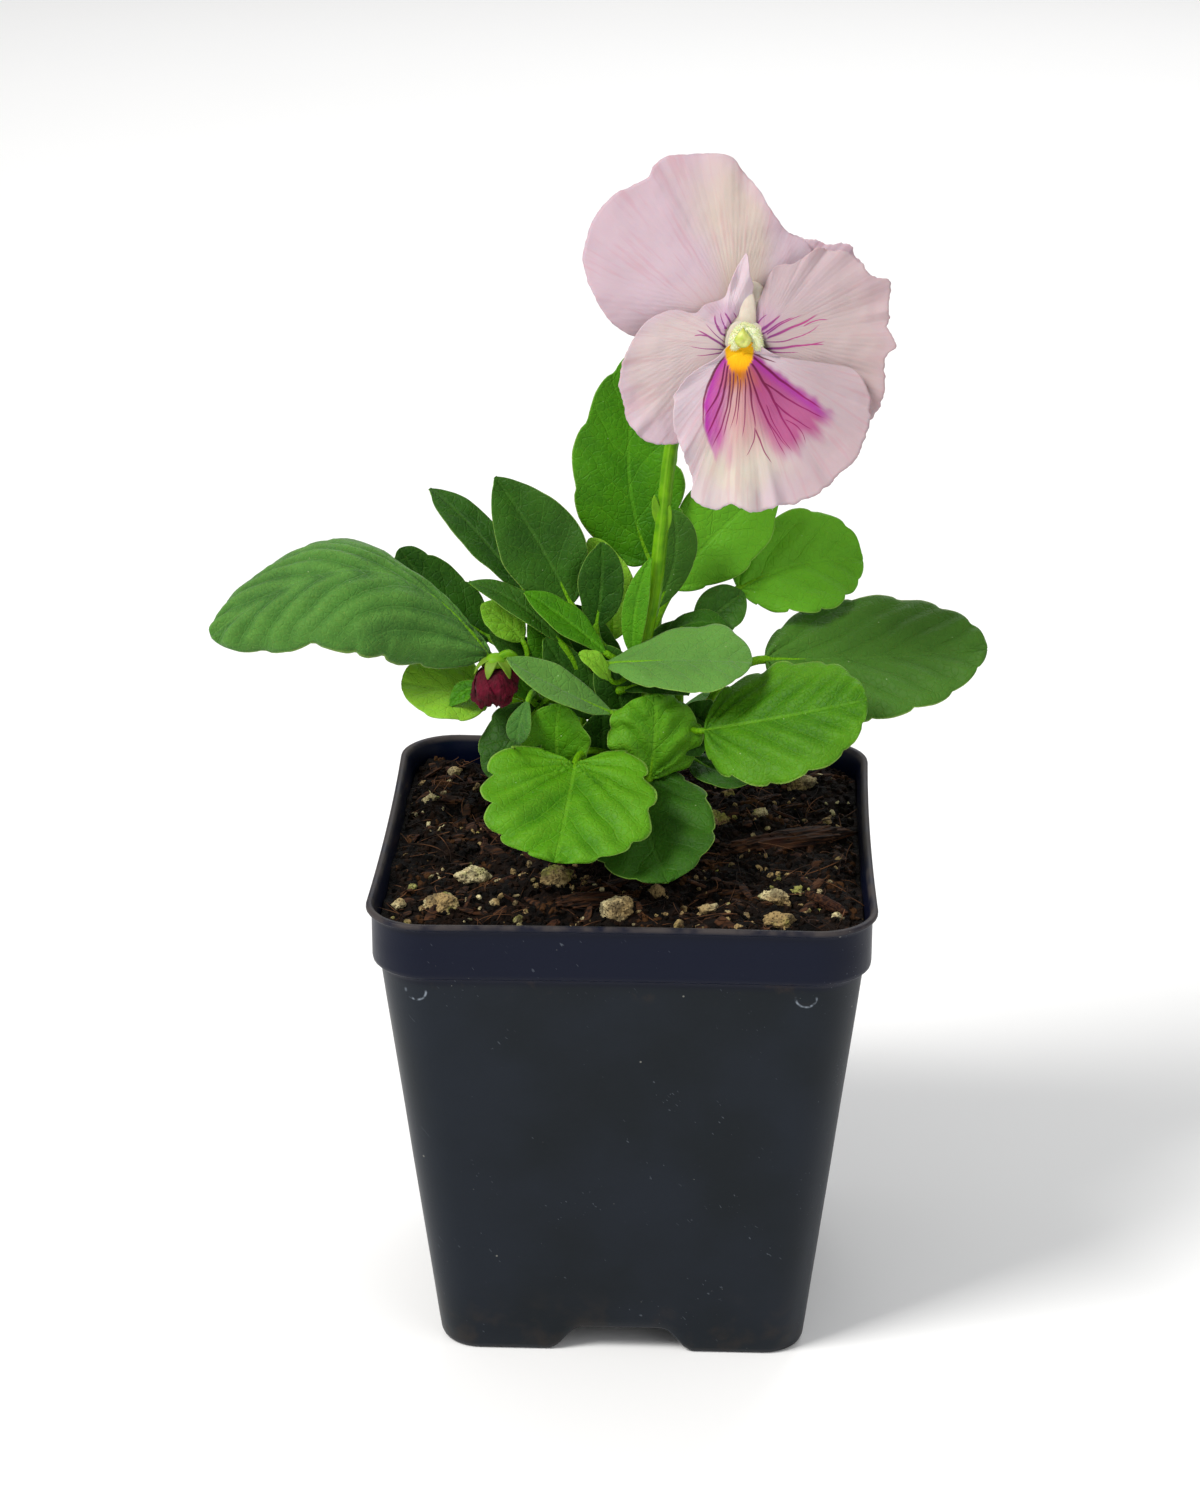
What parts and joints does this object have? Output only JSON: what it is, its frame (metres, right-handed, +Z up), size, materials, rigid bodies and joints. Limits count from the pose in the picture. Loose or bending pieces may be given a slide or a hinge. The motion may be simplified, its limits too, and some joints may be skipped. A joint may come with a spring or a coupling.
{
  "type": "potted pansy planter",
  "caption": "Square tapered nursery pot with a flared band and notched base, filled with potting mix and planted with a leafy pansy in flower.",
  "frame": {"origin": "on the surface that the pot stands on, under the middle of the whole object's box; the middle of the pot's base is 4.8 mm to the right of it", "axes": "+Z up out of the pot, -Y the front that the flower faces, +X to the right as seen from the front"},
  "size_m": [0.1378, 0.089, 0.2131],
  "materials": {
    "pot_plastic": "semi-gloss moulded dark navy-black polypropylene with dust specks and faint scuffs",
    "potting_mix": "matt, very dark brown peat with fine bark and fibres",
    "pumice": "matt pitted cream to tan pumice, mossy in places",
    "bark": "rough red-brown bark fibre",
    "stem_green": "satin fresh green with fine grooves",
    "leaf_dark": "satin dark green blade with fine veins and a thin pale edge",
    "leaf_mid": "satin mid green blade with fine veins and a thin pale edge",
    "leaf_bright": "satin bright green blade with fine veins and a thin pale edge",
    "leaf_grey": "soft grey-green blade with quilted veins",
    "leaf_pale": "satin yellow-green young blade",
    "petal_upper": "velvety pale lilac-pink petal, cream towards the throat",
    "petal_side": "velvety pale pink petal with fine purple lines at the throat",
    "petal_lip": "velvety pale pink petal with a magenta blotch, dark veins and a yellow throat",
    "pistil": "pale green stigma",
    "bud_petal": "velvety dark maroon folded petals"
  },
  "bodies": {
    "root": {"pot": "pot_plastic", "potting_mix": "potting_mix", "pumice_front_left": "pumice", "pumice_corner_left": "pumice", "pumice_front_middle": "pumice", "pumice_under_leaf": "pumice", "pumice_front_right": "pumice", "pumice_corner_right": "pumice", "pumice_right": "pumice", "pumice_rear_right": "pumice", "pumice_rear_left": "pumice", "bark_front": "bark", "bark_sliver": "bark", "bark_ridge": "bark", "stem_with_roots": "stem_green", "flower_stalk": "stem_green", "bud_calyx": "stem_green", "bud_petals": "bud_petal", "leaf_left_long": "leaf_grey", "leaf_left_rear": "leaf_dark", "leaf_upper_left_narrow": "leaf_dark", "leaf_upper_left_broad": "leaf_dark", "leaf_middle_small": "leaf_dark", "leaf_middle_pale": "leaf_pale", "leaf_tall_round": "leaf_mid", "leaf_stalk_right": "leaf_dark", "leaf_behind_lip": "leaf_mid", "leaf_right_upper": "leaf_mid", "leaf_right_long": "leaf_dark", "leaf_right_front": "leaf_bright", "leaf_right_small": "leaf_dark", "leaf_centre_grey": "leaf_grey", "leaf_centre_rear": "leaf_dark", "leaf_centre_under": "leaf_dark", "leaf_front_crinkled": "leaf_bright", "leaf_front_heart": "leaf_bright", "leaf_front_dark": "leaf_dark", "leaf_right_low": "leaf_dark", "leaf_left_low": "leaf_dark", "stipule_left_front": "leaf_grey", "leaf_front_inner": "leaf_bright", "leaf_left_pale": "leaf_pale", "stipule_bud": "leaf_dark", "leaf_left_grey": "leaf_grey", "leaf_left_narrow": "leaf_dark", "leaf_middle_narrow": "leaf_mid", "stipule_left_pale": "leaf_pale", "leaf_right_inner": "leaf_dark", "stipule_stalk": "leaf_mid", "stipule_front": "leaf_pale", "leaf_rear_middle": "leaf_mid", "leaf_rear_left": "leaf_mid", "leaf_rear_right": "leaf_mid", "flower_calyx": "stem_green", "petal_lip": "petal_lip", "petal_side_right": "petal_side", "petal_side_left": "petal_side", "petal_upper_right": "petal_upper", "petal_upper_left": "petal_upper", "pistil": "pistil"}
  },
  "joints": []
}
